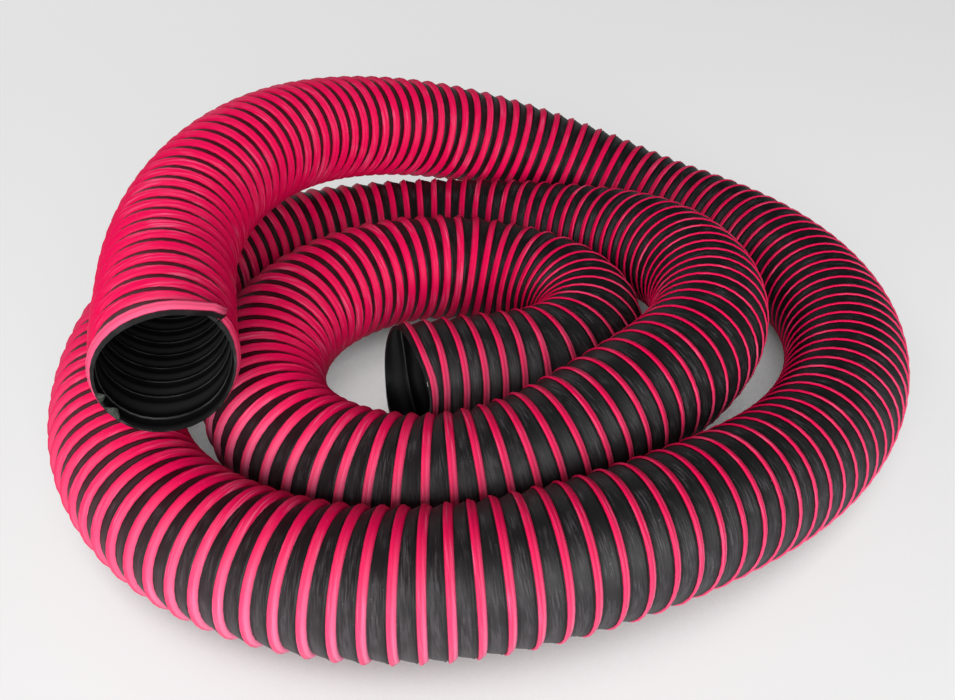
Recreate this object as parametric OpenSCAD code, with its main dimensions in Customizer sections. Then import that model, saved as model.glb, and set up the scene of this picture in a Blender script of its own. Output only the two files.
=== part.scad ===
// Large ribbed workshop hose, loosely coiled on a flat floor.
//
// A rubber wall carries one wound rib from end to end, and a plastic wear strip
// is laid on the steep flank of that rib. Both plain cut ends run straight for
// one hose diameter, and take a round pipe or a clamp collar in their true bore.
// Millimetres, +Z up. The origin is on the floor, midway along the coil's length
// and its width.

/* [Hose] */
// Inside diameter of the hose
bore_d = 100; // [92:1:104]
// Thickness of the rubber between two ribs
wall_t = 2; // [1.5:0.1:3]
// Height of the rib over the rubber between two ribs
rib_h = 4.5; // [3:0.1:5]
// Number of turns that the rib makes over the whole length
rib_count = 200; // [120:1:200]
// Share of a rib's pitch that its steep flank takes
flank_share = 0.36; // [0.3:0.01:0.45]
// Length of each straight end
end_len = 113; // [90:1:130]

/* [Wear strip] */
// Thickness of the wear strip at its middle
strip_t = 1.6; // [1:0.1:2]
// Clearance between the strip and the flank that it lies on
strip_seat = 0.35; // [0.3:0.05:0.5]

/* [Coil] */
// Angle where the raised outer end leaves the coil, before the left side
start_angle = -21; // [-24:1:-16]
// Angle where the inner end leaves the coil, counted on through the turns
finish_angle = 933; // [930:1:936]
// Depth over which the hose settles on to the floor
settle = 15; // [10:1:20]

/* [Hidden] */

// The coil is a spiral, seen from above clockwise. Its radius and its lift off
// the floor blend smoothly between one value for each eighth of a turn, from a
// quarter turn before the left side on. The values are for a hose of laid_d
// across, and a thicker or thinner hose takes its loops with it.
knot_angle = 45;
knots_before = 2;
laid_d = 113;
loop_radii = [
    400, 280,
    255, 270, 385, 425, 370, 295, 305, 345,
    320, 300, 275, 280, 230, 170, 200, 220,
    185, 155, 160, 160, 100, 35, 50, 85, 135
];
loop_lifts = [
    215, 110,
    135, 155, 90, -35, -50, 20, 10, -50,
    30, 15, -30, 30, 35, 35, 0, -15,
    20, 20, 10, -30, 0, -10, 25, 25, -10
];

// The section has eight flat sides of the same area as the round hose, one of
// them underneath, and every row of corners runs the whole length.
sides = 8;
side_angle = 360 / sides;
first_corner = side_angle / 2;
corner_factor = sqrt(2 * PI / (sides * sin(side_angle)));
flat_factor = corner_factor * cos(side_angle / 2);
bore_r = bore_d / 2;
valley_r = bore_r + wall_t;
crest_r = valley_r + rib_h;
hose_d = 2 * crest_r;
spread = hose_d / laid_d;

// Route: points along the curve, then both straight ends, as tables by length
angle_step = 3;
curve = [for (a = [start_angle : angle_step : finish_angle]) turn_point(a)];
lead_dir = unit(curve[0] - curve[1]);
tail_dir = unit(curve[len(curve) - 1] - curve[len(curve) - 2]);
route = concat(
    [curve[0] + end_len * lead_dir],
    curve,
    [curve[len(curve) - 1] + end_len * tail_dir]
);
lengths = running_sum([for (i = [1 : len(route) - 1]) norm(route[i] - route[i - 1])]);
hose_len = lengths[len(lengths) - 1];
x_table = [for (i = [0 : len(route) - 1]) [lengths[i], route[i][0]]];
y_table = [for (i = [0 : len(route) - 1]) [lengths[i], route[i][1]]];
z_table = [for (i = [0 : len(route) - 1]) [lengths[i], route[i][2]]];

// The rib: one turn moves it on by a pitch, a steep flank and a long slope
pitch = hose_len / rib_count;
flank = flank_share * pitch;
slope = pitch - flank;
flank_angle = atan(rib_h / flank);
strip_foot = 0.04;
strip_head = 0.93;

// The bore has a ring about every half diameter
bore_rings = round((hose_len - 2 * end_len) / (0.56 * hose_d));
seam = 0.05;

// Moves the finished coil over the origin, standing on the floor
crest_ring_points = [
    for (s = [0 : pitch / 2 : hose_len], j = [0 : sides - 1])
        section_point(s, first_corner + j * side_angle, crest_r * corner_factor)
];
low_corner = [for (k = [0 : 2]) min([for (p = crest_ring_points) p[k]])];
high_corner = [for (k = [0 : 2]) max([for (p = crest_ring_points) p[k]])];
home = -[(low_corner[0] + high_corner[0]) / 2, (low_corner[1] + high_corner[1]) / 2, low_corner[2]];

function unit(v) = v / norm(v);

function running_sum(steps) = [for (i = 0, total = 0; i <= len(steps);
    total = total + (i < len(steps) ? steps[i] : 0), i = i + 1) total];

// Uniform cubic blend of the values c at place t
function blend(c, t) =
    let (i = max(0, min(len(c) - 4, floor(t))), f = t - i)
    ((1 - f)^3 * c[i] + (3 * f^3 - 6 * f^2 + 4) * c[i + 1]
        + (3 * f^2 - 3 * f^3 + 3 * f + 1) * c[i + 2] + f^3 * c[i + 3]) / 6;

// Centre of the hose at angle a of the spiral, resting on the floor or above it
function turn_point(a) =
    let (
        t = a / knot_angle + knots_before - 1,
        radius = spread * blend(loop_radii, t),
        lift = spread * blend(loop_lifts, t),
        rest = (lift + sqrt(lift^2 + settle^2)) / 2
    )
    [radius * cos(180 - a), radius * sin(180 - a), crest_r * flat_factor + rest];

function centre_at(s) = [lookup(s, x_table), lookup(s, y_table), lookup(s, z_table)];

// Direction of the hose at length s: that of a straight end, or else over a
// short piece on both sides
function heading_at(s) =
    s <= end_len ? -lead_dir
        : s >= hose_len - end_len ? tail_dir
        : unit(centre_at(s + bore_r / 5) - centre_at(s - bore_r / 5));

// Point at length s, angle a round the section and distance r from its centre
function section_point(s, a, r) =
    let (ahead = heading_at(s), right = unit(cross(ahead, [0, 0, 1])), up = cross(right, ahead))
    centre_at(s) + r * (cos(a) * right + sin(a) * up);

// Radius of the wall at length s in corner row j, between a crest and a valley
function wall_radius(s, j) =
    let (turns = s / pitch - j / sides, after = (turns - floor(turns)) * pitch)
    after < slope ? crest_r - rib_h * after / slope : crest_r - rib_h * (pitch - after) / flank;

// Lengths of the crests and valleys of corner row j that lie between two cuts
function row_stations(j, from, to) = concat(
    [from],
    [for (k = [floor(from / pitch) - 1 : ceil(to / pitch) + 1], part = [0, slope])
        let (s = (k + j / sides) * pitch + part)
        if (s > from + seam && s < to - seam) s],
    [to]
);

// Triangles between two neighbouring corner rows whose first points are a0 and b0
function zip_rows(a, b, a0, b0) =
    let (na = len(a) - 1, nb = len(b) - 1, shift = pitch / sides)
    [for (
        i = 0, k = 0;
        i + k < na + nb;
        on_a = k == nb || (i < na && a[i + 1] + shift <= b[k + 1] + seam),
        i = on_a ? i + 1 : i,
        k = on_a ? k : k + 1
    ) k == nb || (i < na && a[i + 1] + shift <= b[k + 1] + seam)
        ? [a0 + i, b0 + k, a0 + i + 1]
        : [a0 + i, b0 + k, b0 + k + 1]];

// Ribbed outside of the wall between two cuts, as [rows, first indices]
function outside_rows(from, to) = [for (j = [0 : sides - 1]) row_stations(j, from, to)];

function row_starts(rows) = running_sum([for (row = rows) len(row)]);

function outside_points(rows) = [
    for (j = [0 : sides - 1], s = rows[j])
        section_point(s, first_corner + j * side_angle, wall_radius(s, j) * corner_factor)
];

function outside_faces(rows, first) = [
    for (j = [0 : sides - 1])
        let (next = (j + 1) % sides)
        each zip_rows(rows[j], rows[next], first[j], first[next])
];

// Solid of the ribbed outside between two cuts, filled
module ribbed_bar(from, to) {
    rows = outside_rows(from, to);
    first = row_starts(rows);
    last = [for (j = [0 : sides - 1]) first[j + 1] - 1];
    polyhedron(
        points = outside_points(rows),
        faces = concat(
            outside_faces(rows, first),
            [for (j = [1 : sides - 2]) [first[0], first[j + 1], first[j]]],
            [for (j = [1 : sides - 2]) [last[0], last[j], last[j + 1]]]
        )
    );
}

// The long coiled wall with its bore, one unbroken tube
module hose_wall() {
    from = end_len;
    to = hose_len - end_len;
    rows = outside_rows(from, to);
    first = row_starts(rows);
    last = [for (j = [0 : sides - 1]) first[j + 1] - 1];
    base = first[sides];
    end = base + bore_rings * sides;
    bore_points = [
        for (i = [0 : bore_rings], j = [0 : sides - 1])
            section_point(
                from + (to - from) * i / bore_rings,
                first_corner + j * side_angle,
                bore_r * corner_factor
            )
    ];
    color("#26282a")
    translate(home)
    polyhedron(
        points = concat(outside_points(rows), bore_points),
        faces = concat(
            outside_faces(rows, first),
            [for (i = [0 : bore_rings - 1], j = [0 : sides - 1])
                let (a = base + i * sides + j, b = base + i * sides + (j + 1) % sides)
                each [[a, a + sides, b + sides], [a, b + sides, b]]],
            [for (j = [0 : sides - 1])
                let (n = (j + 1) % sides)
                each [
                    [base + j, base + n, first[n]], [base + j, first[n], first[j]],
                    [end + j, last[n], end + n], [end + j, last[j], last[n]]
                ]]
        )
    );
}

// One straight end of the wall with its true round bore
module straight_end(from, to) {
    start = centre_at(from);
    along = unit(centre_at(to) - start);
    color("#26282a")
    translate(home)
    difference() {
        ribbed_bar(from, to);
        translate(start)
        rotate([0, acos(along[2]), atan2(along[1], along[0])])
        translate([0, 0, -1])
        cylinder(h = to - from + 2, r = bore_r, $fn = 96);
    }
}

module outer_end() {
    straight_end(0, end_len);
}

module inner_end() {
    straight_end(hose_len - end_len, hose_len);
}

// Corner of the strip: a share q up the flank, lifted square off it by off
function strip_corner(m, q, off) =
    let (s = m * pitch / sides - flank * (1 - q) - off * sin(flank_angle))
    section_point(
        s,
        first_corner + m * side_angle,
        (valley_r + rib_h * q + off * cos(flank_angle)) * corner_factor
    );

// The wear strip, one unbroken winding on the flank of the rib
module wear_strip() {
    from = ceil((flank + strip_t) * sides / pitch);
    to = floor(hose_len * sides / pitch);
    count = to - from;
    color("#ee1458")
    translate(home)
    polyhedron(
        points = [for (m = [from : to]) each [
            strip_corner(m, strip_foot, strip_seat),
            strip_corner(m, strip_head, strip_seat),
            strip_corner(m, (strip_foot + strip_head) / 2, strip_seat + strip_t)
        ]],
        faces = concat(
            [[0, 2, 1], [3 * count, 3 * count + 1, 3 * count + 2]],
            [for (i = [0 : count - 1], c = [0 : 2])
                let (a = 3 * i + c, b = 3 * i + (c + 1) % 3)
                each [[a, b + 3, a + 3], [a, b, b + 3]]]
        )
    );
}

// Least gap between parts of the hose that lie more than half a turn apart
gap_points = [for (s = [0 : pitch : hose_len]) centre_at(s)];
gap_skip = round(4.5 * hose_d / pitch);

function side_reach(v, s) =
    let (
        ahead = heading_at(s),
        right = unit(cross(ahead, [0, 0, 1])),
        up = cross(right, ahead),
        a = atan2(v * up, v * right),
        off = a - side_angle * floor(a / side_angle) - side_angle / 2
    )
    crest_r * corner_factor * cos(off);

least_gap = min([
    for (i = [0 : len(gap_points) - 1], k = [i + gap_skip : 1 : len(gap_points) - 1])
        let (v = gap_points[k] - gap_points[i], d = norm(v))
        if (d < 1.3 * hose_d) d - side_reach(v / d, i * pitch) - side_reach(-v / d, k * pitch)
]);
echo(hose_len = hose_len, pitch = pitch, least_gap_mm = least_gap);

hose_wall();
outer_end();
inner_end();
wear_strip();
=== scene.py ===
"""Dresses the coiled workshop hose: rubber wall, wound wear strip, cut ends, floor and light.

The hose is made straight first. Its wall and its strip are short profiles that
spin into a left-handed helix, and both are then laid along the coil's route.
Metres, +Z up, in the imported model's own frame.
"""

import logging
import math
from collections.abc import Callable
from dataclasses import dataclass, field
from enum import Enum

import bmesh
import bpy
import numpy as np
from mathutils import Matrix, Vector


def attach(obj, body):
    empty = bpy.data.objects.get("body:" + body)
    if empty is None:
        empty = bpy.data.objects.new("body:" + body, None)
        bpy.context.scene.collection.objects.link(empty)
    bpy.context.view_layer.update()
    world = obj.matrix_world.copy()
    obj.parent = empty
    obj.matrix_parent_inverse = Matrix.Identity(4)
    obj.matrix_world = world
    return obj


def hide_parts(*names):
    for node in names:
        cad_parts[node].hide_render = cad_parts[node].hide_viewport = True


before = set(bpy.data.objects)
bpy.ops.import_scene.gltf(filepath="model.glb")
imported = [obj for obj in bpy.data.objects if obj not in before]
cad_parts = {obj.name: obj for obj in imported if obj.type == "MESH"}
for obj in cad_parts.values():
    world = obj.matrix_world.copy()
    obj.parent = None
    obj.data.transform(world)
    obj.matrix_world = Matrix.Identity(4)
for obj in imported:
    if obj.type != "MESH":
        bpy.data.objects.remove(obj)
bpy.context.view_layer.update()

log = logging.getLogger("hose")
MM = 0.001

Colour = tuple[float, float, float]
Profile = list[tuple[float, float]]


class Slot(Enum):
    """The record's material slots."""

    RUBBER = "hose_rubber"
    STRIP = "wear_strip"


class Lay(Enum):
    """Names of the attributes that carry a point's place on the straight hose."""

    STRAIGHT = "straight_place"
    ACROSS = "rib_share"


# ---------------------------------------------------------------- shader maths


class Value:
    """A shader socket that builds Math nodes from Python expressions."""

    def __init__(self, tree: bpy.types.NodeTree, socket: bpy.types.NodeSocket) -> None:
        """Wraps a socket.

        Args:
            tree: The node tree that new nodes go into.
            socket: The output socket that holds the value.
        """
        self.tree = tree
        self.socket = socket

    def _math(self, operation: str, *others: "Value | float", swap: bool = False) -> "Value":
        """Adds one Math node.

        Args:
            operation: The node's operation.
            *others: The other operands, sockets or numbers.
            swap: True where this value is the second operand.

        Returns:
            The node's result.
        """
        node = self.tree.nodes.new("ShaderNodeMath")
        node.operation = operation
        operands = [self, *others]
        if swap:
            operands.reverse()
        for socket, operand in zip(node.inputs, operands):
            if isinstance(operand, Value):
                self.tree.links.new(operand.socket, socket)
            else:
                socket.default_value = operand
        return Value(self.tree, node.outputs[0])

    def __add__(self, other: "Value | float") -> "Value":
        """Sum."""
        return self._math("ADD", other)

    __radd__ = __add__

    def __mul__(self, other: "Value | float") -> "Value":
        """Product."""
        return self._math("MULTIPLY", other)

    __rmul__ = __mul__

    def __sub__(self, other: "Value | float") -> "Value":
        """Difference."""
        return self._math("SUBTRACT", other)

    def __rsub__(self, other: float) -> "Value":
        """Difference from a number."""
        return self._math("SUBTRACT", other, swap=True)

    def __truediv__(self, other: "Value | float") -> "Value":
        """Quotient."""
        return self._math("DIVIDE", other)

    def __pow__(self, other: float) -> "Value":
        """Power."""
        return self._math("POWER", other)

    def __abs__(self) -> "Value":
        """Size without sign."""
        return self._math("ABSOLUTE")

    def fraction(self) -> "Value":
        """What is left over a whole number."""
        return self._math("FRACT")

    def angle_over(self, other: "Value") -> "Value":
        """Angle of the point whose height this is, other across, in radians."""
        return self._math("ARCTAN2", other)

    def step(self, low: float, high: float) -> "Value":
        """Smooth step.

        Args:
            low: Where the step leaves 0.
            high: Where it reaches 1, which may lie below low.

        Returns:
            A value from 0 to 1.
        """
        share = (self - low) / (high - low)
        inside = share._math("MAXIMUM", 0.0)._math("MINIMUM", 1.0)
        return inside * inside * (3.0 - 2.0 * inside)


class Shader:
    """A material's node tree with short ways to add nodes."""

    def __init__(self, name: str) -> None:
        """Starts a material with an empty tree; finish adds the output.

        Args:
            name: The material's name.
        """
        self.material = bpy.data.materials.new(name)
        self.material.use_nodes = True
        self.tree = self.material.node_tree
        self.tree.nodes.clear()

    def node(self, kind: str, settings: dict | None = None, **sockets: object) -> bpy.types.Node:
        """Adds any node.

        Args:
            kind: The node's type.
            settings: The node's own settings, or a ramp's stops under "stops".
            **sockets: A number, colour, Value or socket for each input, by name
                with _ for a space.

        Returns:
            The node.
        """
        made = self.tree.nodes.new(kind)
        for name, setting in (settings or {}).items():
            if name == "stops":
                ramp = made.color_ramp
                while len(ramp.elements) < len(setting):
                    ramp.elements.new(0.5)
                for element, (place, colour) in zip(ramp.elements, setting):
                    element.position = place
                    element.color = (*colour, 1.0)
            else:
                setattr(made, name, setting)
        for name, given in sockets.items():
            socket = made.inputs[name.replace("_", " ")]
            if isinstance(given, Value):
                self.tree.links.new(given.socket, socket)
            elif isinstance(given, bpy.types.NodeSocket):
                self.tree.links.new(given, socket)
            elif isinstance(given, tuple) and socket.type == "RGBA":
                socket.default_value = (*given, 1.0)
            else:
                socket.default_value = given
        return made

    def value(self, socket: bpy.types.NodeSocket) -> Value:
        """Wraps a socket for expressions."""
        return Value(self.tree, socket)

    def attribute(self, name: str) -> bpy.types.Node:
        """Reads one of the piece's attributes."""
        return self.node("ShaderNodeAttribute", {"attribute_name": name})

    def spot(self) -> bpy.types.NodeSocket:
        """Place in the model's own frame."""
        return self.node("ShaderNodeTexCoord").outputs["Object"]

    def split(self, vector: bpy.types.NodeSocket) -> list[Value]:
        """Splits a vector into its three coordinates."""
        return [self.value(part) for part in self.node("ShaderNodeSeparateXYZ", Vector=vector).outputs]

    def painted_low_sheen(self, place: bpy.types.NodeSocket, top: float) -> Value:
        """Mask of painted sheen, low on the coil's outward side and weaker on the coil's left.

        Args:
            place: The place on the straight hose.
            top: Height at which the painted sheen ends, in metres.

        Returns:
            A value from 0 to 1.
        """
        outward = self.split(place)[0].step(-0.005, 0.035)
        where = self.split(self.spot())
        # Painted light: the sheen is weaker on the coil's left side.
        painted_light_share = 0.42 + 0.58 * where[0].step(-0.36, -0.18)
        return where[2].step(top, 0.010) * outward * painted_light_share

    def noise(self, place: bpy.types.NodeSocket, stretch: Colour, detail: float = 3.0) -> Value:
        """Noise whose grain is stretched.

        Args:
            place: The coordinates, in metres.
            stretch: Waves a metre along each coordinate.
            detail: Number of finer layers.

        Returns:
            Noise from 0 to 1, about one half.
        """
        scaled = self.node("ShaderNodeVectorMath", {"operation": "MULTIPLY"})
        self.tree.links.new(place, scaled.inputs[0])
        scaled.inputs[1].default_value = stretch
        made = self.node("ShaderNodeTexNoise", Vector=scaled.outputs[0], Scale=1.0, Detail=detail)
        return self.value(made.outputs["Fac"])

    def mix(self, share: Value, low: object, high: object) -> bpy.types.NodeSocket:
        """Blends two colours.

        Args:
            share: 0 for low and 1 for high.
            low: A colour or a socket.
            high: A colour or a socket.

        Returns:
            The blended colour's socket.
        """
        made = self.tree.nodes.new("ShaderNodeMix")
        made.data_type = "RGBA"
        self.tree.links.new(share.socket, made.inputs[0])
        for socket, given in ((made.inputs[6], low), (made.inputs[7], high)):
            if isinstance(given, bpy.types.NodeSocket):
                self.tree.links.new(given, socket)
            else:
                socket.default_value = (*given, 1.0)
        return made.outputs[2]

    def bump(self, height: Value, depth: float) -> bpy.types.NodeSocket:
        """Relief from a height.

        Args:
            height: The height, from 0 to 1.
            depth: What a height of 1 stands for, in metres.

        Returns:
            The normal's socket.
        """
        made = self.node("ShaderNodeBump", Height=height, Strength=1.0, Distance=depth)
        return made.outputs["Normal"]

    def finish(self, surface: bpy.types.Node) -> bpy.types.Material:
        """Joins the surface to the output.

        Args:
            surface: The surface's shader node.

        Returns:
            The material.
        """
        end = self.tree.nodes.new("ShaderNodeOutputMaterial")
        self.tree.links.new(surface.outputs[0], end.inputs["Surface"])
        return self.material


@dataclass(frozen=True)
class RubberFinish:
    """Matt black rubber with grain along the rib, a soft sheen, a little dust, and painted sheen in lighter
    grey low on the coil's outward side and in the middle of the web.
    """

    name: str = "black_rubber"
    deep: Colour = (0.0042, 0.0039, 0.0042)
    # Grey of wear streaks, also painted sheen low on the outward side and in the web's middle.
    wear_and_sheen: Colour = (0.078, 0.074, 0.080)
    dust: Colour = (0.26, 0.27, 0.26)
    # Painted sheen: lighter grey low on the coil's outward side, most in the web's middle.
    flank: Colour = (0.044, 0.041, 0.044)
    gloss: float = 0.44
    dull: float = 0.64
    sheen_level: float = 0.26

    def build(self) -> bpy.types.Material:
        """Builds the material."""
        s = Shader(self.name)
        place = s.attribute(Lay.STRAIGHT.value).outputs["Vector"]
        streak = s.noise(place, (70.0, 70.0, 1100.0), 3.0)
        patch = s.noise(place, (42.0, 42.0, 60.0), 2.0)
        speck = s.noise(place, (620.0, 620.0, 620.0), 2.0)
        # Painted sheen, low on the coil's outward side and strongest in the web's middle.
        low = s.painted_low_sheen(place, 0.130)
        web = abs(s.value(s.attribute(Lay.ACROSS.value).outputs["Fac"]) - 0.74).step(0.25, 0.04)
        # Wear streaks and patches, partly painted sheen where they grow low on the outward side and in the
        # web's middle.
        grey = (streak + 0.12 * low).step(0.42, 0.70) * (patch + 0.18 * low).step(0.38, 0.66)
        ground = s.mix(low * (0.45 + 0.55 * web), self.deep, self.flank)
        colour = s.mix(grey * (0.20 + 0.50 * web), ground, self.wear_and_sheen)
        colour = s.mix(speck.step(0.68, 0.78) * patch.step(0.42, 0.62) * 0.45, colour, self.dust)
        rough = self.gloss + (self.dull - self.gloss) * (0.35 * patch + 0.65 * streak)
        surface = s.node(
            "ShaderNodeBsdfPrincipled",
            Base_Color=colour,
            Roughness=rough,
            Normal=s.bump(streak * 0.8 + speck * 0.2, 0.00035),
        )
        surface.inputs["Specular IOR Level"].default_value = self.sheen_level
        return s.finish(surface)


@dataclass(frozen=True)
class BoreFinish:
    """Smoother black rubber of the bore, with painted sheen in a broad grey stripe and a painted highlight on
    each ring's crest.
    """

    name: str = "bore_rubber"
    deep: Colour = (0.0020, 0.0020, 0.0020)
    # Painted sheen: the broad grey stripe on each ring.
    painted_band_sheen: Colour = (0.020, 0.019, 0.020)
    # Painted highlight: the bright line on each ring's crest.
    painted_ridge_highlight: Colour = (0.075, 0.072, 0.075)
    band_share: float = 0.90
    ridge_share: float = 0.50
    rough: float = 0.46
    sheen_level: float = 0.22

    def build(self, winding: "Winding") -> bpy.types.Material:
        """Builds the material.

        Args:
            winding: The rib's helix, which the rings follow.

        Returns:
            The material.
        """
        s = Shader(self.name)
        place = s.attribute(Lay.STRAIGHT.value).outputs["Vector"]
        parts = s.split(place)
        around = parts[1].angle_over(parts[0] * -1.0) / (2 * math.pi) - winding.first_angle / 360
        share = ((parts[2] - winding.first_place) / winding.pitch - around + 2.0).fraction()
        patch = s.noise(place, (40.0, 40.0, 30.0), 2.0)
        from_band = abs((share - self.band_share + 0.5).fraction() - 0.5)
        # Painted sheen: a broad grey stripe on each turn of the rings.
        colour = s.mix(from_band.step(0.30, 0.06), self.deep, self.painted_band_sheen)
        # Painted highlight: a thin bright line on each ring's crest, broken up at random.
        painted_ridge_highlight = abs(share - self.ridge_share).step(0.045, 0.012) * (0.35 + 0.65 * patch.step(0.3, 0.6))
        surface = s.node(
            "ShaderNodeBsdfPrincipled",
            Base_Color=s.mix(painted_ridge_highlight, colour, self.painted_ridge_highlight),
            Roughness=self.rough + 0.15 * patch,
        )
        surface.inputs["Specular IOR Level"].default_value = self.sheen_level
        return s.finish(surface)


@dataclass(frozen=True)
class StripFinish:
    """Satin crimson pink plastic, paler with wear from rubbing and with painted sheen low on the coil's
    outward side, and darker along a fine line in its middle.
    """

    name: str = "crimson_strip"
    body: Colour = (0.84, 0.0022, 0.086)
    # Pale pink of wear from rubbing, also the painted sheen low on the outward side.
    rub_and_sheen: Colour = (1.0, 0.25, 0.43)
    # Darker tone of a fine line along the strip's middle.
    middle_line_tone: Colour = (0.66, 0.004, 0.075)
    gloss: float = 0.42
    dull: float = 0.56
    sheen_level: float = 0.12

    def build(self) -> bpy.types.Material:
        """Builds the material."""
        s = Shader(self.name)
        place = s.attribute(Lay.STRAIGHT.value).outputs["Vector"]
        across = s.value(s.attribute(Lay.ACROSS.value).outputs["Fac"])
        streak = s.noise(place, (26.0, 26.0, 1000.0), 2.0)
        patch = s.noise(place, (30.0, 30.0, 22.0), 2.0)
        speck = s.noise(place, (900.0, 900.0, 900.0), 1.0)
        # Darker along a fine line in the strip's middle, broken up at random.
        line = abs(across - 0.47).step(0.10, 0.02) * (0.35 + 0.65 * patch.step(0.35, 0.65))
        # Painted sheen, low on the coil's outward side and weaker over the strip's crest half.
        painted_sheen = s.painted_low_sheen(place, 0.150) * (1.0 - 0.60 * across.step(0.46, 0.60))
        # Wear streaks from rubbing, boosted by the painted sheen.
        rub_and_sheen_mask = streak.step(0.46, 0.72) * (patch + 0.2 * painted_sheen).step(0.38, 0.70)
        colour = s.mix(rub_and_sheen_mask * 0.45, self.body, self.rub_and_sheen)
        colour = s.mix(speck.step(0.70, 0.80) * 0.30, colour, self.rub_and_sheen)
        # Painted sheen: paler low on the coil's outward side.
        colour = s.mix(painted_sheen * 0.92, colour, self.rub_and_sheen)
        # Paler over the first 12 to 26 mm of the hose at the outer mouth.
        colour = s.mix(s.split(place)[2].step(0.026, 0.012) * 0.40, colour, self.rub_and_sheen)
        colour = s.mix(line * 0.50, colour, self.middle_line_tone)
        rough = self.gloss + (self.dull - self.gloss) * patch
        surface = s.node(
            "ShaderNodeBsdfPrincipled",
            Base_Color=colour,
            Roughness=rough,
            Normal=s.bump(streak * 0.75 + speck * 0.25, 0.00024),
        )
        surface.inputs["Specular IOR Level"].default_value = self.sheen_level
        return s.finish(surface)


@dataclass(frozen=True)
class ScrapFinish:
    """Torn or frayed scrap at a cut, one colour mottled with another."""

    name: str
    body: Colour
    mottle: Colour
    rough: float = 0.75

    def build(self) -> bpy.types.Material:
        """Builds the material."""
        s = Shader(self.name)
        place = s.node("ShaderNodeTexCoord").outputs["Object"]
        grain = s.noise(place, (500.0, 500.0, 500.0), 3.0)
        surface = s.node(
            "ShaderNodeBsdfPrincipled",
            Base_Color=s.mix(grain.step(0.40, 0.62), self.body, self.mottle),
            Roughness=self.rough,
            Normal=s.bump(grain, 0.0006),
        )
        return s.finish(surface)


@dataclass(frozen=True)
class FloorFinish:
    """Pale seamless floor, its glow faded near the hose as painted shade."""

    name: str = "pale_floor"
    tone: Colour = (0.45, 0.45, 0.45)
    backdrop: float = 0.56
    shade_reach: float = 0.12

    def build(self) -> bpy.types.Material:
        """Builds the material."""
        s = Shader(self.name)
        rays = s.node("ShaderNodeLightPath").outputs
        seen = s.value(rays["Is Camera Ray"]) + s.value(rays["Is Glossy Ray"])
        seen = seen + s.value(rays["Is Transmission Ray"])
        # Painted shade: the floor's glow fades in narrow gaps and close under the hose.
        near = s.node("ShaderNodeAmbientOcclusion", {"samples": 6}, Distance=self.shade_reach)
        seen = seen * s.value(near.outputs["AO"]).step(0.06, 0.50)
        surface = s.node(
            "ShaderNodeBsdfPrincipled",
            Base_Color=self.tone,
            Roughness=0.9,
            Emission_Color=s.mix(seen, (0.0, 0.0, 0.0), (1.0, 1.0, 1.0)),
            Emission_Strength=self.backdrop,
        )
        surface.inputs["Specular IOR Level"].default_value = 0.1
        return s.finish(surface)


# ------------------------------------------------------------------- the route


@dataclass
class Route:
    """The spiral that the hose lies in, clockwise from its raised outer end."""

    start_angle: float = -21.0
    finish_angle: float = 933.0
    knot_angle: float = 45.0
    knots_before: int = 2
    settle: float = 15 * MM
    end_len: float = 113 * MM
    rest_height: float = 55.012 * MM
    chord_angle: float = 3.0
    home: tuple[float, float, float] = (-0.0262484, -0.0351363, -0.0013566)
    radii: list[float] = field(
        default_factory=lambda: [
            *(0.400, 0.280),
            *(0.255, 0.270, 0.385, 0.425, 0.370, 0.295, 0.305, 0.345),
            *(0.320, 0.300, 0.275, 0.280, 0.230, 0.170, 0.200, 0.220),
            *(0.185, 0.155, 0.160, 0.160, 0.100, 0.035, 0.050, 0.085, 0.135),
        ]
    )
    lifts: list[float] = field(
        default_factory=lambda: [
            *(0.215, 0.110),
            *(0.135, 0.155, 0.090, -0.035, -0.050, 0.020, 0.010, -0.050),
            *(0.030, 0.015, -0.030, 0.030, 0.035, 0.035, 0.000, -0.015),
            *(0.020, 0.020, 0.010, -0.030, 0.000, -0.010, 0.025, 0.025, -0.010),
        ]
    )

    def blend(self, values: list[float], place: float) -> float:
        """Uniform cubic blend of a list of values.

        Args:
            values: One value for each eighth of a turn.
            place: Where to read, counted in values.

        Returns:
            The blended value.
        """
        i = max(0, min(len(values) - 4, math.floor(place)))
        f = place - i
        weights = ((1 - f) ** 3, 3 * f**3 - 6 * f**2 + 4, 3 * f**2 - 3 * f**3 + 3 * f + 1, f**3)
        return sum(w * v for w, v in zip(weights, values[i : i + 4])) / 6

    def centre(self, angle: float) -> Vector:
        """Centre of the hose at an angle of the spiral.

        Args:
            angle: The angle in degrees, counted on through the turns.

        Returns:
            The point, on the floor or above it.
        """
        place = angle / self.knot_angle + self.knots_before - 1
        radius = self.blend(self.radii, place)
        lift = self.blend(self.lifts, place)
        height = self.rest_height + (lift + math.hypot(lift, self.settle)) / 2
        turn = math.radians(180 - angle)
        return Vector((radius * math.cos(turn), radius * math.sin(turn), height)) + Vector(self.home)

    def line(self) -> np.ndarray:
        """The whole centre line, with both straight ends."""
        first, last = self.centre(self.start_angle), self.centre(self.finish_angle)
        lead = (first - self.centre(self.start_angle + self.chord_angle)).normalized()
        tail = (last - self.centre(self.finish_angle - self.chord_angle)).normalized()
        angles = np.arange(self.start_angle, self.finish_angle + 0.25, 0.5)
        bend = [self.centre(float(a)) for a in angles]
        straight = [self.end_len * i / 30 for i in range(30, 0, -1)]
        points = [first + lead * d for d in straight] + bend + [last + tail * d for d in reversed(straight)]
        return np.array(points)


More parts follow.
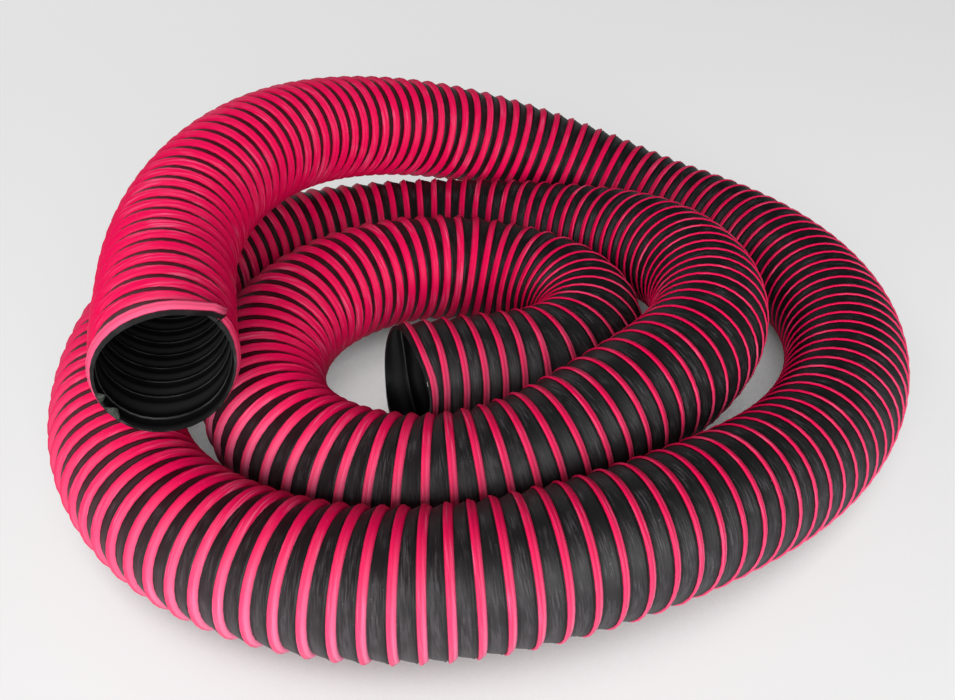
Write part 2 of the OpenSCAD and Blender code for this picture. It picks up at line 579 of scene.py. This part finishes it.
@dataclass
class Laying:
    """Lays a straight hose along a route."""

    line: np.ndarray
    reach: float = 10 * MM
    step: float = 1 * MM
    floor_give: float = 1.2 * MM

    def __post_init__(self) -> None:
        """Tabulates the route by length."""
        line = self.line
        along = np.concatenate([[0], np.cumsum(np.linalg.norm(np.diff(line, axis=0), axis=1))])
        self.length = float(along[-1])
        self.places = np.linspace(0, self.length, int(self.length / self.step) + 1)
        self.centres = self._at(along, line, self.places)
        before, after = self.places - self.reach, self.places + self.reach
        ahead = self._at(along, line, after) - self._at(along, line, before)
        self.ahead = ahead / np.linalg.norm(ahead, axis=1)[:, None]
        left = np.cross((0.0, 0.0, 1.0), self.ahead)
        self.left = left / np.linalg.norm(left, axis=1)[:, None]
        self.up = np.cross(self.ahead, self.left)
        self.left_turn = np.sum(np.gradient(self.left, self.places, axis=0) * self.ahead, axis=1)
        self.up_turn = np.sum(np.gradient(self.up, self.places, axis=0) * self.ahead, axis=1)

    def _at(self, along: np.ndarray, line: np.ndarray, places: np.ndarray) -> np.ndarray:
        """Reads a line of points at given lengths, held at both ends."""
        return np.stack([np.interp(places, along, line[:, k]) for k in range(3)], axis=1)

    def stretch(self, straight: np.ndarray) -> np.ndarray:
        """How much longer each straight point's fibre is once bent."""
        left = np.interp(straight[:, 2], self.places, self.left_turn)
        up = np.interp(straight[:, 2], self.places, self.up_turn)
        return 1 + straight[:, 0] * left + straight[:, 1] * up

    def bend(self, straight: np.ndarray) -> np.ndarray:
        """Lays straight points along the route.

        Args:
            straight: Points as (left, up, ahead), in metres.

        Returns:
            Their places in the model's frame, pressed flat on the floor.
        """
        s = straight[:, 2]
        ahead = self._at(self.places, self.ahead, s)
        beyond = s - np.clip(s, 0.0, self.length)
        laid = self._at(self.places, self.centres, s) + ahead * beyond[:, None]
        laid += straight[:, :1] * self._at(self.places, self.left, s)
        laid += straight[:, 1:2] * self._at(self.places, self.up, s)
        laid[:, 2] = (laid[:, 2] + np.hypot(laid[:, 2], self.floor_give)) / 2
        return laid


# -------------------------------------------------------------------- the hose


def smooth_step(values: np.ndarray, low: float, high: float) -> np.ndarray:
    """Rises smoothly from 0 at low to 1 at high."""
    share = np.clip((values - low) / (high - low), 0.0, 1.0)
    return share * share * (3.0 - 2.0 * share)


def round_table(values: list[float], places: np.ndarray, closed: bool = True) -> np.ndarray:
    """Reads a table smoothly, on a curve through its values.

    Args:
        values: The table.
        places: Where to read, counted in values.
        closed: True where the table goes round and starts again.

    Returns:
        The values there.
    """
    table = np.array(values)
    first = np.floor(places).astype(int)
    f = places - first
    picks = [first + k for k in (-1, 0, 1, 2)]
    if closed:
        a, b, c, d = (table[pick % len(table)] for pick in picks)
    else:
        a, b, c, d = (table[np.clip(pick, 0, len(table) - 1)] for pick in picks)
    return b + f * (c - a + f * (2 * a - 5 * b + 4 * c - d + f * (3 * b - a - 3 * c + d))) / 2


@dataclass
class Winding:
    """The rib's helix: where its turns lie along the straight hose."""

    pitch: float = 18.006 * MM
    first_angle: float = 34.0
    first_place: float = -0.25 * MM
    strip_share: float = 0.385
    line_share: float = 0.165

    def around(self, straight: np.ndarray) -> np.ndarray:
        """Share of a turn from the strip's start to each point, from right over the top."""
        angle = np.degrees(np.arctan2(straight[:, 1], -straight[:, 0])) - self.first_angle
        return np.mod(angle / 360 + 1e-5, 1.0)

    def turns(self, straight: np.ndarray) -> np.ndarray:
        """Counts turns to each point, whole numbers where the strip's foot lies."""
        around = np.degrees(np.arctan2(straight[:, 1], -straight[:, 0])) - self.first_angle
        return (straight[:, 2] - self.first_place) / self.pitch - around / 360

    def even_out(self, straight: np.ndarray, laying: Laying) -> np.ndarray:
        """Keeps the strip as wide in a bend as it is straight, so that the web gives.

        Args:
            straight: The straight points.
            laying: The route, for its stretch.

        Returns:
            The straight points, moved along the hose within their own turn.
        """
        turns = self.turns(straight)
        share = turns - np.floor(turns)
        stretch = np.clip(laying.stretch(straight), 0.45, 2.0)
        strip = np.minimum(self.strip_share / stretch, 0.66)
        line = strip + np.minimum(self.line_share / stretch, 0.5 * (1 - strip))
        flat_strip, flat_line = self.strip_share, self.strip_share + self.line_share
        on_strip = share * strip / flat_strip
        on_line = strip + (share - flat_strip) * (line - strip) / (flat_line - flat_strip)
        on_web = line + (share - flat_line) * (1 - line) / (1 - flat_line)
        moved = np.where(share < flat_strip, on_strip, np.where(share < flat_line, on_line, on_web))
        result = straight.copy()
        result[:, 2] += (moved - share) * self.pitch
        return result


@dataclass
class OuterMouth:
    """The raised end, cut by hand along its rib, so that the strip runs round its rim."""

    lip: float = 0.14
    web_share: float = 0.86
    rim: list[float] = field(
        default_factory=lambda: [13.0, 2.3, -2.6, -5.6, -6.3, -5.7, -4.4, -3.3, -2.0, 0.6, 4.9, 9.5, 12.8]
    )
    swell: list[float] = field(
        default_factory=lambda: [4.0, 2.4, -0.5, -1.7, -2.6, -2.9, -0.4, 2.7, 2.9, 2.5, 1.2, 1.9, 4.0]
    )
    swell_reach: float = 60 * MM
    tip_rise: float = 4.5 * MM
    tip_reach: float = 0.07
    thinning: list[float] = field(
        default_factory=lambda: [-3.6, -1.2, -1.3, -1.0, 0.0, 0.9, 1.1, 1.2, 1.3, 1.3, 1.6, 1.6, -3.6]
    )
    lean: float = -3.0 * MM
    lean_reach: float = 120 * MM

    def shape(self, straight: np.ndarray, winding: Winding) -> np.ndarray:
        """Moves straight points to the mouth's own shape.

        Args:
            straight: The straight points.
            winding: The rib's helix.

        Returns:
            The moved points.
        """
        near = straight[:, 2] < self.lean_reach
        result = straight.copy()
        place = straight[near]
        around = winding.around(place)
        s = place[:, 2]
        turn = (s - winding.first_place) / winding.pitch - around
        far = self.lean * (1 - smooth_step(s, 20 * MM, self.lean_reach))
        cut = winding.first_place + (around - self.lip) * winding.pitch
        rim = round_table(self.rim, around * 12, closed=False) * MM
        held = np.clip((self.web_share - turn) / (self.web_share - winding.strip_share), 0.0, 1.0)
        place[:, 2] = s + far + (rim - cut - self.lean) * held
        radius = np.hypot(place[:, 0], place[:, 1])
        swell = round_table(self.swell, around * 12, closed=False) * MM
        grown = swell * (1 - smooth_step(s, 0.0, self.swell_reach))
        grown += self.tip_rise * held * (1 - smooth_step(around, 0.0, self.tip_reach))
        inner = (radius < 51.5 * MM) * (1 - smooth_step(s, 0.0, 20 * MM))
        grown += round_table(self.thinning, around * 12, closed=False) * MM * inner
        place[:, :2] *= ((radius + grown) / radius)[:, None]
        result[near] = place
        return result


@dataclass
class InnerMouth:
    """The end in the middle of the coil, cut a little askew."""

    knots: list[float] = field(default_factory=lambda: [0.0, 9.5, 17.0, 26.5, 80.0, 260.0])
    rim: list[float] = field(
        default_factory=lambda: [-7.0, -3.5, 0.0, 3.5, 8.5, 14.5, 14.5, 8.0, -1.0, -7.0, -10.0, -9.0]
    )
    first_turn: list[float] = field(
        default_factory=lambda: [-4.0, -6.0, -7.5, -5.5, 0.0, 6.5, 7.0, 4.0, 0.0, -3.0, -4.0, -4.0]
    )
    next_turns: list[float] = field(
        default_factory=lambda: [-4.0, -6.0, -7.5, -5.5, -2.0, 0.0, 0.0, 0.0, -1.0, -2.0, -3.0, -4.0]
    )

    def shape(self, straight: np.ndarray, length: float) -> np.ndarray:
        """Moves straight points to the mouth's own shape.

        Args:
            straight: The straight points.
            length: The hose's length.

        Returns:
            The moved points.
        """
        knots = np.array(self.knots) * MM
        near = length - straight[:, 2] < knots[-1]
        result = straight.copy()
        place = straight[near]
        before = length - place[:, 2]
        angle = np.mod(np.degrees(np.arctan2(place[:, 1], -place[:, 0])), 360) / 30
        rows = [self.rim, self.first_turn, self.first_turn, self.next_turns, self.next_turns, [0.0] * 12]
        moves = [round_table(row, angle) for row in rows]
        moved = np.zeros(len(place))
        for k in range(len(knots) - 1):
            share = (before - knots[k]) / (knots[k + 1] - knots[k])
            here = (share >= 0) & (share <= 1) if k else share <= 1
            share = np.clip(share, 0.0, 1.0)
            moved = np.where(here, moves[k] + (moves[k + 1] - moves[k]) * share, moved)
        place[:, 2] -= moved * MM
        result[near] = place
        return result


@dataclass
class HosePiece:
    """A piece of the hose that is made straight and then laid on the route."""

    name: str
    laying: Laying
    winding: Winding
    outer: OuterMouth
    inner: InnerMouth
    sides: int = 36

    def helix(
        self, bm: bmesh.types.BMesh, profile: Profile, closed: bool, turns: float, first: float = 0.0
    ) -> None:
        """Spins a profile into a left-handed helix about the hose's axis.

        Args:
            bm: The mesh that it is added to.
            profile: Places ahead and distances from the axis, in metres.
            closed: True where the profile's last point joins its first.
            turns: The least number of turns, which doubles up from one.
            first: How far ahead the helix starts, in metres.
        """
        start = self.winding.first_place + first
        turn = math.radians(self.winding.first_angle)
        points = [
            bm.verts.new((-r * math.cos(turn), r * math.sin(turn), start + ahead)) for ahead, r in profile
        ]
        edges = [bm.edges.new(pair) for pair in zip(points, points[1:])]
        if closed:
            edges.append(bm.edges.new((points[-1], points[0])))
        bmesh.ops.spin(
            bm,
            geom=points + edges,
            cent=(0, 0, 0),
            axis=(0, 0, 1),
            dvec=(0, 0, self.winding.pitch / self.sides),
            angle=-2 * math.pi,
            steps=self.sides,
            use_merge=False,
            use_duplicate=False,
        )
        done = 1
        while done < turns:
            made = bmesh.ops.duplicate(bm, geom=bm.verts[:] + bm.edges[:] + bm.faces[:])
            more = [v for v in made["geom"] if isinstance(v, bmesh.types.BMVert)]
            bmesh.ops.translate(bm, verts=more, vec=(0, 0, self.winding.pitch * done))
            done *= 2
        bmesh.ops.remove_doubles(bm, verts=bm.verts[:], dist=0.05 * MM)

    def cut(self, bm: bmesh.types.BMesh, place: float, side: int) -> list[bmesh.types.BMEdge]:
        """Cuts the straight hose square and drops what lies beyond.

        Args:
            bm: The mesh.
            place: Where the cut goes, ahead along the hose.
            side: -1 drops what lies behind the cut, and 1 what lies ahead.

        Returns:
            The edges of the cut.
        """
        made = bmesh.ops.bisect_plane(
            bm,
            geom=bm.verts[:] + bm.edges[:] + bm.faces[:],
            dist=1e-6,
            plane_co=(0, 0, place),
            plane_no=(0, 0, side),
            clear_outer=True,
        )
        return [e for e in made["geom_cut"] if isinstance(e, bmesh.types.BMEdge)]

    def face_out(self, bm: bmesh.types.BMesh) -> None:
        """Turns every face of a closed mesh outwards."""
        bmesh.ops.recalc_face_normals(bm, faces=bm.faces[:])
        if bm.calc_volume(signed=True) < 0:
            bmesh.ops.reverse_faces(bm, faces=bm.faces[:])

    def join(self, bm: bmesh.types.BMesh, part: bmesh.types.BMesh) -> None:
        """Adds one mesh to another and frees it."""
        copy = bpy.data.meshes.new("part")
        part.to_mesh(copy)
        part.free()
        bm.from_mesh(copy)
        bpy.data.meshes.remove(copy)

    def object(
        self, bm: bmesh.types.BMesh, materials: list[bpy.types.Material], slot: Slot, body: str = "root"
    ) -> bpy.types.Object:
        """Lays the straight mesh on the route and makes it an object.

        Args:
            bm: The straight mesh, which is freed.
            materials: The piece's materials, in the order of its faces' numbers.
            slot: The record's slot; not used.
            body: The body that it rides on.

        Returns:
            The new object.
        """
        mesh = bpy.data.meshes.new(self.name)
        bm.to_mesh(mesh)
        bm.free()
        places = np.empty(len(mesh.vertices) * 3, dtype=np.float32)
        mesh.vertices.foreach_get("co", places)
        straight = places.reshape(-1, 3).astype(float)
        lay = mesh.attributes.new(Lay.STRAIGHT.value, "FLOAT_VECTOR", "POINT")
        lay.data.foreach_set("vector", straight.astype(np.float32).ravel())
        across = mesh.attributes.new(Lay.ACROSS.value, "FLOAT", "POINT")
        across.data.foreach_set("value", self.across(straight).astype(np.float32))
        shaped = self.outer.shape(self.even(straight), self.winding)
        laid = self.laying.bend(self.inner.shape(shaped, self.laying.length))
        mesh.vertices.foreach_set("co", laid.astype(np.float32).ravel())
        mesh.update()
        for material in materials:
            mesh.materials.append(material)
        mesh.shade_smooth()
        made = bpy.data.objects.new(self.name, mesh)
        bpy.context.scene.collection.objects.link(made)
        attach(made, body)
        log.info("%s: %d faces", self.name, len(mesh.polygons))
        return made

    def across(self, straight: np.ndarray) -> np.ndarray:
        """Share of the pitch at which each point lies."""
        turns = self.winding.turns(straight)
        return turns - np.floor(turns + 1e-4)

    def even(self, straight: np.ndarray) -> np.ndarray:
        """Evens the pitch out in bends."""
        return self.winding.even_out(straight, self.laying)


@dataclass
class HoseWall(HosePiece):
    """The rubber wall with its ribbed outside, its bore and both cut ends."""

    outside: Profile = field(
        default_factory=lambda: [
            (-0.14, 53.5),
            (0.00, 52.5),
            (0.33, 55.6),
            (0.395, 54.9),
            (0.43, 55.0),
            (0.465, 55.75),
            (0.51, 55.6),
            (0.56, 54.95),
            (0.86, 53.5),
        ]
    )
    inside: Profile = field(
        default_factory=lambda: [
            (-0.14, 50.3),
            (0.10, 50.7),
            (0.44, 50.9),
            (0.50, 50.0),
            (0.56, 50.9),
            (0.70, 50.8),
            (0.86, 50.3),
        ]
    )
    ringed_turns: int = 16
    ringed: float = 210 * MM

    def build(self, finish: bpy.types.Material, bore_finish: bpy.types.Material) -> bpy.types.Object:
        """Builds the wall as one closed tube.

        Args:
            finish: The rubber.
            bore_finish: The rubber in the bore.

        Returns:
            The wall's object.
        """
        length, pitch = self.laying.length, self.winding.pitch
        bm = bmesh.new()
        self.helix(bm, self.scaled(self.outside), False, length / pitch + 1.2)
        bore = self.bore()
        for face in bore.faces:
            face.material_index = 1
        self.join(bm, bore)
        self.cut(bm, length, 1)
        rim = [e for e in bm.edges if e.is_boundary and min(v.co.z for v in e.verts) > length - 1e-5]
        bmesh.ops.triangle_fill(bm, edges=rim, use_beauty=True, use_dissolve=False)
        self.first_cut(bm)
        bmesh.ops.remove_doubles(bm, verts=bm.verts[:], dist=0.02 * MM)
        self.face_out(bm)
        for edge in bm.edges:
            if self.is_rim(edge):
                edge.smooth = False
        return self.object(bm, [finish, bore_finish], Slot.RUBBER)

    def scaled(self, profile: Profile) -> Profile:
        """Turns shares of the pitch and millimetres into metres."""
        return [(share * self.winding.pitch, r * MM) for share, r in profile]

    def bore(self) -> bmesh.types.BMesh:
        """Makes the bore, ringed for a way behind each mouth and plain between."""
        pitch = self.winding.pitch
        count = math.ceil((self.laying.length - self.ringed) / pitch)
        between = round((self.laying.length - 2 * self.ringed) / pitch)
        bm = bmesh.new()
        self.helix(bm, self.scaled(self.inside), False, self.ringed_turns)
        edges = self.cut(bm, self.ringed, 1)
        for _ in range(between):
            made = bmesh.ops.extrude_edge_only(bm, edges=edges)
            points = [g for g in made["geom"] if isinstance(g, bmesh.types.BMVert)]
            bmesh.ops.translate(bm, verts=points, vec=(0, 0, pitch))
            edges = [g for g in made["geom"] if isinstance(g, bmesh.types.BMEdge) and g.is_boundary]
        last = bmesh.new()
        start = between - 4
        self.helix(last, self.scaled(self.inside), False, 2 * self.ringed_turns, start * pitch)
        self.cut(last, self.ringed + between * pitch, -1)
        self.join(bm, last)
        bmesh.ops.remove_doubles(bm, verts=bm.verts[:], dist=0.06 * MM)
        log.info("bore: %d turns in all, %d plain", count, between)
        return bm

    def first_cut(self, bm: bmesh.types.BMesh) -> None:
        """Closes the outer end between the outside and the bore, with its step."""
        outside, inside = self.scaled(self.outside), self.scaled(self.inside)
        part = bmesh.new()
        self.helix(part, [outside[0], inside[0]], False, 1)
        turn = math.radians(self.winding.first_angle)
        start = self.winding.first_place
        points = [
            part.verts.new((-r * math.cos(turn), r * math.sin(turn), start + ahead))
            for ahead, r in outside + inside[::-1]
        ]
        part.faces.new(points)
        self.join(bm, part)

    def is_rim(self, edge: bmesh.types.BMEdge) -> bool:
        """True for an edge at either cut where the wall turns sharply."""
        place = min(v.co.z for v in edge.verts)
        near = place < 20 * MM or place > self.laying.length - 1e-5
        return near and len(edge.link_faces) == 2 and edge.calc_face_angle(0.0) > 1.0


@dataclass
class WearStrip(HosePiece):
    """The wound strip on the steep flank of the rib, with a groove along its middle."""

    section: Profile = field(
        default_factory=lambda: [
            (0.25, 51.9),
            (0.02, 52.7),
            (0.55, 54.0),
            (1.75, 55.2),
            (2.75, 55.55),
            (3.35, 55.75),
            (4.20, 56.6),
            (5.40, 57.0),
            (6.45, 56.75),
            (6.93, 55.8),
        ]
    )
    width: float = 6.95 * MM
    stop_before: float = 11 * MM
    stop_angles: tuple[float, float] = (332.0, 112.0)

    def build(self, finish: bpy.types.Material) -> bpy.types.Object:
        """Builds the strip as one closed winding.

        Args:
            finish: The plastic.

        Returns:
            The strip's object.
        """
        winding, length = self.winding, self.laying.length
        bm = bmesh.new()
        points = [(ahead * MM, r * MM) for ahead, r in self.section]
        self.helix(bm, points, True, (length - winding.first_place) / winding.pitch + 0.2)
        self.cut(bm, length - 0.3 * MM, 1)
        bmesh.ops.delete(bm, geom=[f for f in bm.faces if self.is_spare(f)], context="FACES")
        slivers = [f for f in bm.faces if sum(not e.is_boundary for e in f.edges) < 2]
        bmesh.ops.delete(bm, geom=slivers, context="FACES")
        bmesh.ops.holes_fill(bm, edges=[e for e in bm.edges if e.is_boundary], sides=0)
        self.face_out(bm)
        return self.object(bm, [finish], Slot.STRIP)

    def is_spare(self, face: bmesh.types.BMFace) -> bool:
        """True for a face of the last part turn, which was trimmed off with the hose."""
        place = face.calc_center_median()
        if place.z < self.laying.length - self.stop_before:
            return False
        angle = math.degrees(math.atan2(place.y, -place.x)) % 360
        return angle > self.stop_angles[0] or angle < self.stop_angles[1]

    def share(self, straight: np.ndarray) -> np.ndarray:
        """Share of the pitch from the strip's foot to each point."""
        turns = self.winding.turns(straight)
        return turns - np.round(turns - 0.19)

    def across(self, straight: np.ndarray) -> np.ndarray:
        """Share of the strip's width at which each point lies."""
        return self.share(straight) * self.winding.pitch / self.width

    def even(self, straight: np.ndarray) -> np.ndarray:
        """Keeps the strip's own width, whatever the hose's bend."""
        share = self.share(straight)
        stretch = np.clip(self.laying.stretch(straight), 0.45, 2.0)
        strip = np.minimum(self.winding.strip_share / stretch, 0.66)
        result = straight.copy()
        result[:, 2] += (share * strip / self.winding.strip_share - share) * self.winding.pitch
        return result


@dataclass
class Scrap(HosePiece):
    """A torn or frayed flap that the knife left on a rim."""

    first: float = 190.0
    last: float = 226.0
    depths: list[float] = field(default_factory=lambda: [0.0, 1.0, 0.0])
    root_radius: float = 52.4 * MM
    edge_radius: float = 50.6 * MM
    curl: float = 1.6 * MM
    thick: float = 0.7 * MM
    at_inner: bool = False

    def build(self, finish: bpy.types.Material) -> bpy.types.Object:
        """Builds the flap as a thin closed sheet with a ragged edge.

        Args:
            finish: The flap's material.

        Returns:
            The flap's object.
        """
        bm = bmesh.new()
        bmesh.ops.create_grid(bm, x_segments=30, y_segments=4, size=1.0)
        depths = round_table(
            self.depths, np.array([(v.co.x + 1) / 2 * (len(self.depths) - 1) for v in bm.verts]), False
        )
        for point, depth in zip(bm.verts, depths):
            share = (point.co.y + 1) / 2
            angle = self.first + (self.last - self.first) * (point.co.x + 1) / 2
            radius = self.root_radius + (self.edge_radius - depth * MM - self.root_radius) * share
            turn = math.radians(angle)
            place = self.rim_place(angle) + self.forward() * (0.5 * MM - self.curl * share * share)
            point.co = (-radius * math.cos(turn), radius * math.sin(turn), place)
        bmesh.ops.solidify(bm, geom=bm.faces[:], thickness=self.thick)
        self.face_out(bm)
        return self.object(bm, [finish], Slot.RUBBER)

    def forward(self) -> float:
        """Way out of the mouth along the straight hose, -1 or 1."""
        return 1.0 if self.at_inner else -1.0

    def rim_place(self, angle: float) -> float:
        """Place of the rim's edge on the straight hose at an angle round it."""
        if self.at_inner:
            return self.laying.length
        around = (angle - self.winding.first_angle) / 360 % 1.0
        return self.winding.first_place + (around - self.outer.lip) * self.winding.pitch

    def even(self, straight: np.ndarray) -> np.ndarray:
        """Leaves the flap's own width as it is."""
        return straight


# ------------------------------------------------------------------ the studio


@dataclass
class Studio:
    """Floor, lights and camera."""

    home: tuple[float, float, float] = (-0.0262484, -0.0351363, -0.0013566)
    pole: tuple[float, float, float] = (-0.0079988, 0.8490026, -0.6060280)
    pitch_down: float = 32.708
    focal_share: float = 1034.906 / 955
    floor_reach: float = 5.6
    sweep_rise: float = 1.8
    sweep_round: float = 0.9
    lights: list[bpy.types.Object] = field(default_factory=list)

    def camera(self) -> None:
        """Sets the camera in front of the coil, looking down on it."""
        data = bpy.data.cameras.new("camera")
        data.sensor_fit = "HORIZONTAL"
        data.sensor_width = 36.0
        data.lens = 36.0 * self.focal_share
        data.clip_end = 50.0
        made = bpy.data.objects.new("camera", data)
        made.location = Vector(self.home) - Vector(self.pole)
        made.rotation_euler = (math.radians(90 - self.pitch_down), 0, 0)
        bpy.context.scene.collection.objects.link(made)
        bpy.context.scene.camera = made

    def floor(self, finish: bpy.types.Material) -> None:
        """Lays the pale floor, which sweeps up into a low round backdrop.

        Args:
            finish: The floor's material.
        """
        bm = bmesh.new()
        bmesh.ops.create_circle(bm, cap_ends=True, segments=72, radius=self.floor_reach)
        corner = bm.edges[:]
        made = bmesh.ops.extrude_edge_only(bm, edges=corner)
        raised = [g for g in made["geom"] if isinstance(g, bmesh.types.BMVert)]
        bmesh.ops.translate(bm, verts=raised, vec=(0, 0, self.sweep_rise))
        bmesh.ops.bevel(
            bm, geom=corner, offset=self.sweep_round, segments=10, profile=0.5, affect="EDGES", material=-1
        )
        bmesh.ops.recalc_face_normals(bm, faces=bm.faces[:])
        if min(bm.faces, key=lambda face: face.calc_center_median().z).normal.z < 0:
            bmesh.ops.reverse_faces(bm, faces=bm.faces[:])
        mesh = bpy.data.meshes.new("floor")
        bm.to_mesh(mesh)
        bm.free()
        mesh.shade_smooth()
        mesh.materials.append(finish)
        made = bpy.data.objects.new("floor", mesh)
        bpy.context.scene.collection.objects.link(made)

    def area(self, name: str, place: Colour, aim: Colour, size: tuple[float, float], power: float) -> None:
        """Adds a soft box.

        Args:
            name: Its name.
            place: Where it hangs.
            aim: What it points at.
            size: Its width and height.
            power: Its watts.
        """
        data = bpy.data.lights.new(name, "AREA")
        data.shape = "RECTANGLE"
        data.size, data.size_y = size
        data.energy = power
        made = bpy.data.objects.new(name, data)
        made.location = place
        turn = (Vector(aim) - Vector(place)).to_track_quat("-Z", "Y")
        made.rotation_euler = turn.to_euler()
        bpy.context.scene.collection.objects.link(made)
        self.lights.append(made)

    def world(self, strength: float) -> None:
        """Sets the even light from all round.

        Args:
            strength: The light's strength.
        """
        world = bpy.data.worlds.new("studio")
        world.use_nodes = True
        background = world.node_tree.nodes["Background"]
        background.inputs["Color"].default_value = (1.0, 1.0, 1.0, 1.0)
        background.inputs["Strength"].default_value = strength
        bpy.context.scene.world = world

    def build(self) -> None:
        """Builds the whole studio."""
        bpy.context.scene.view_settings.view_transform = "Standard"
        self.camera()
        self.floor(FloorFinish().build())
        self.world(0.10)
        self.area("key_box", (-0.12, -2.8, 1.1), (0.0, 0.0, 0.06), (2.8, 1.5), 112.0)
        self.area("top_box", (-0.1, -0.3, 2.6), (0.0, 0.0, 0.0), (2.6, 2.2), 4.0)
        self.area("back_box", (-2.4, 2.6, 2.2), (0.0, 0.0, 0.06), (2.0, 2.0), 24.0)


def main() -> None:
    """Builds the camera, the hose and the studio in order."""
    logging.basicConfig(level=logging.INFO, format="%(name)s: %(message)s")
    studio = Studio()
    studio.build()
    line = Route().line()
    laying = Laying(line)
    winding = Winding()
    hose = (laying, winding, OuterMouth(), InnerMouth())
    log.info("hose length %.3f m", laying.length)
    wall = HoseWall("rubber_wall", *hose).build(RubberFinish().build(), BoreFinish().build(winding))
    strip = WearStrip("wound_strip", *hose).build(StripFinish().build())
    torn = ScrapFinish("torn_rubber", (0.050, 0.064, 0.050), (0.016, 0.020, 0.016)).build()
    burr = Scrap("torn_burr", *hose, depths=[0.0, 2.5, 5.2, 3.4, 0.8, 0.2, 0.3, 2.6, 5.0, 5.8, 4.2, 2.8, 0.0])
    burr = burr.build(torn)
    frayed = ScrapFinish("frayed_ply", (0.86, 0.78, 0.62), (0.60, 0.50, 0.36)).build()
    fray = Scrap("frayed_end", *hose, first=147.5, last=152.0, depths=[0.0, 0.8, 0.4, 1.2, 0.0], at_inner=True)
    fray = fray.build(frayed)
    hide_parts("hose_wall", "outer_end", "inner_end")
    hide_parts("wear_strip")


if __name__ == "__main__":
    main()
